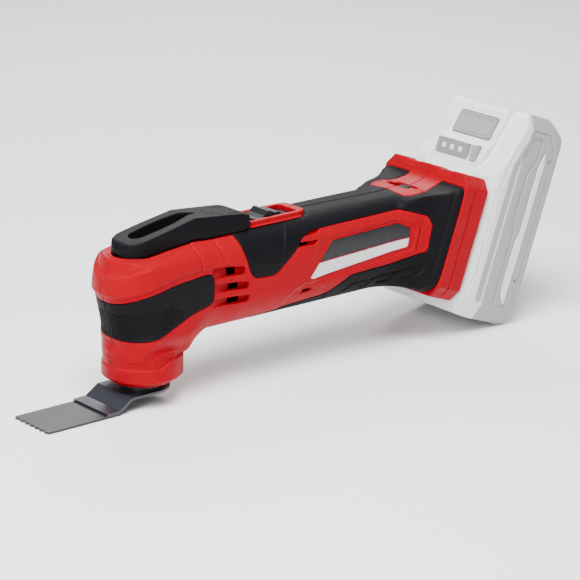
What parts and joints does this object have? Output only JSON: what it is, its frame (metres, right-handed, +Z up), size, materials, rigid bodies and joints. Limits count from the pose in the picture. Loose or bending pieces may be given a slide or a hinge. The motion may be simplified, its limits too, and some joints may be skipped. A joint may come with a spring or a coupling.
{
  "type": "cordless oscillating multi-tool",
  "caption": "Cordless oscillating multi-tool: barrel body with soft grips, quick-release lever over the head, plunge saw blade, speed dial and slide-on battery pack.",
  "frame": {"origin": "on the spindle axis, at the level of the surface that the blade and the pack rest on", "axes": "+X from the spindle to the rear of the tool, +Z up along the spindle, -Y is the tool's left side"},
  "size_m": [0.3964, 0.078, 0.1402],
  "materials": {
    "red_shell": "satin",
    "grip": "fine matte texture",
    "name_plate": "brushed film",
    "screw_steel": "plain",
    "lever": "satin",
    "steel": "ground",
    "spring_steel": "plain",
    "dark_steel": "blackened",
    "seal": "matte",
    "cast_aluminium": "as cast",
    "arm_paint": "glossy",
    "blade_steel": "ground and dark",
    "armature": "laminated, varnished windings",
    "copper": "bare copper",
    "black_plastic": "moulded",
    "carbon": "pressed carbon",
    "slider": "moulded",
    "grey_plastic": "moulded",
    "dial": "ribbed",
    "board": "solder mask",
    "contact_brass": "plated",
    "lead": "insulated wire",
    "pack_light": "moulded",
    "pack_dark": "moulded",
    "pack_button": "moulded",
    "gauge": "smooth",
    "cell_wrap": "shrink sleeve over a metal can",
    "nickel": "plated strip"
  },
  "bodies": {
    "body": {"housing_left": "red_shell", "housing_right": "red_shell", "head_grip_left": "grip", "head_grip_right": "grip", "handle_grip_left": "grip", "handle_grip_right": "grip", "name_plate_left": "name_plate", "name_plate_right": "name_plate", "housing_screws": "screw_steel", "lever_bracket": "steel", "dust_seal": "seal", "lower_bearing": "steel", "upper_bearing": "steel", "gear_case": "cast_aluminium", "front_bearing": "steel", "rear_bearing": "steel", "motor_can": "steel", "motor_end_cap": "black_plastic", "carbon_brushes": "carbon", "switch_cover": "black_plastic", "switch_module": "black_plastic", "dial_potentiometer": "grey_plastic", "control_board": "board", "battery_dock": "black_plastic", "dock_contacts": "contact_brass", "motor_leads": "lead"},
    "lever": {"release_lever": "lever", "lever_pin": "steel"},
    "plunger": {"release_plunger": "steel"},
    "output": {"spindle": "steel", "drive_fork": "steel", "output_flange": "dark_steel", "blade_arm": "arm_paint", "saw_blade": "blade_steel", "bearing_clip": "spring_steel", "disc_springs": "spring_steel"},
    "clamp": {"clamp_bolt": "dark_steel", "clamp_nut": "steel"},
    "rotor": {"rotor_shaft": "steel", "armature": "armature", "commutator": "copper", "cooling_fan": "black_plastic", "eccentric_sleeve": "steel", "eccentric_bearing": "steel"},
    "switch": {"switch_slider": "slider", "switch_rod": "grey_plastic"},
    "dial": {"speed_dial": "dial"},
    "pack": {"pack_shell_front": "pack_light", "pack_shell_rear": "pack_dark", "pack_side_covers": "pack_dark", "pack_screws": "screw_steel", "gauge_window": "gauge", "pack_terminals": "copper", "battery_cells": "cell_wrap", "cell_frame": "black_plastic", "cell_straps": "nickel", "pack_board": "board", "button_spring": "spring_steel"},
    "pack_button": {"pack_button": "pack_button"},
    "gauge_button": {"gauge_button": "pack_button"}
  },
  "joints": [
    {"name": "lever_hinge", "type": "hinge", "parent": "body", "child": "lever", "pos_m": [-0.009, 0, 0.0945], "axis": [0, -1, 0], "range_deg": [0, 100]},
    {"name": "plunger_slide", "type": "slide", "parent": "body", "child": "plunger", "axis": [0, 0, -1], "range_m": [0, 0.0035]},
    {"name": "output_oscillation", "type": "hinge", "parent": "body", "child": "output", "pos_m": [0, 0, 0], "axis": [0, 0, 1], "range_deg": [-1.6, 1.6]},
    {"name": "clamp_slide", "type": "slide", "parent": "output", "child": "clamp", "axis": [0, 0, -1], "range_m": [0, 0.0035], "deforming": ["disc_springs"]},
    {"name": "motor_spin", "type": "hinge", "parent": "body", "child": "rotor", "pos_m": [0, 0, 0.068], "axis": [1, 0, 0], "continuous": true},
    {"name": "switch_slide", "type": "slide", "parent": "body", "child": "switch", "axis": [1, 0, 0], "range_m": [0, 0.007]},
    {"name": "speed_dial_turn", "type": "hinge", "parent": "body", "child": "dial", "pos_m": [0.2085, 0, 0.0834], "axis": [1, 0, 0], "range_deg": [0, 270]},
    {"name": "pack_slide", "type": "slide", "parent": "body", "child": "pack", "axis": [0.3338, 0, 0.9426], "range_m": [0, 0.08]},
    {"name": "pack_button_press", "type": "slide", "parent": "pack", "child": "pack_button", "axis": [0.9426, 0, -0.3338], "range_m": [0, 0.003], "stiffness_N_per_m": 1200, "springref_m": -0.002, "deforming": ["button_spring"]},
    {"name": "gauge_button_press", "type": "slide", "parent": "pack", "child": "gauge_button", "axis": [0.9426, 0, -0.3338], "range_m": [0, 0.001], "stiffness_N_per_m": 800, "springref_m": -0.001}
  ],
  "couplings": [
    {"joint": "plunger_slide", "follows": "lever_hinge", "m_per_rad": 0.0020053},
    {"joint": "clamp_slide", "follows": "lever_hinge", "m_per_rad": 0.0020053}
  ]
}
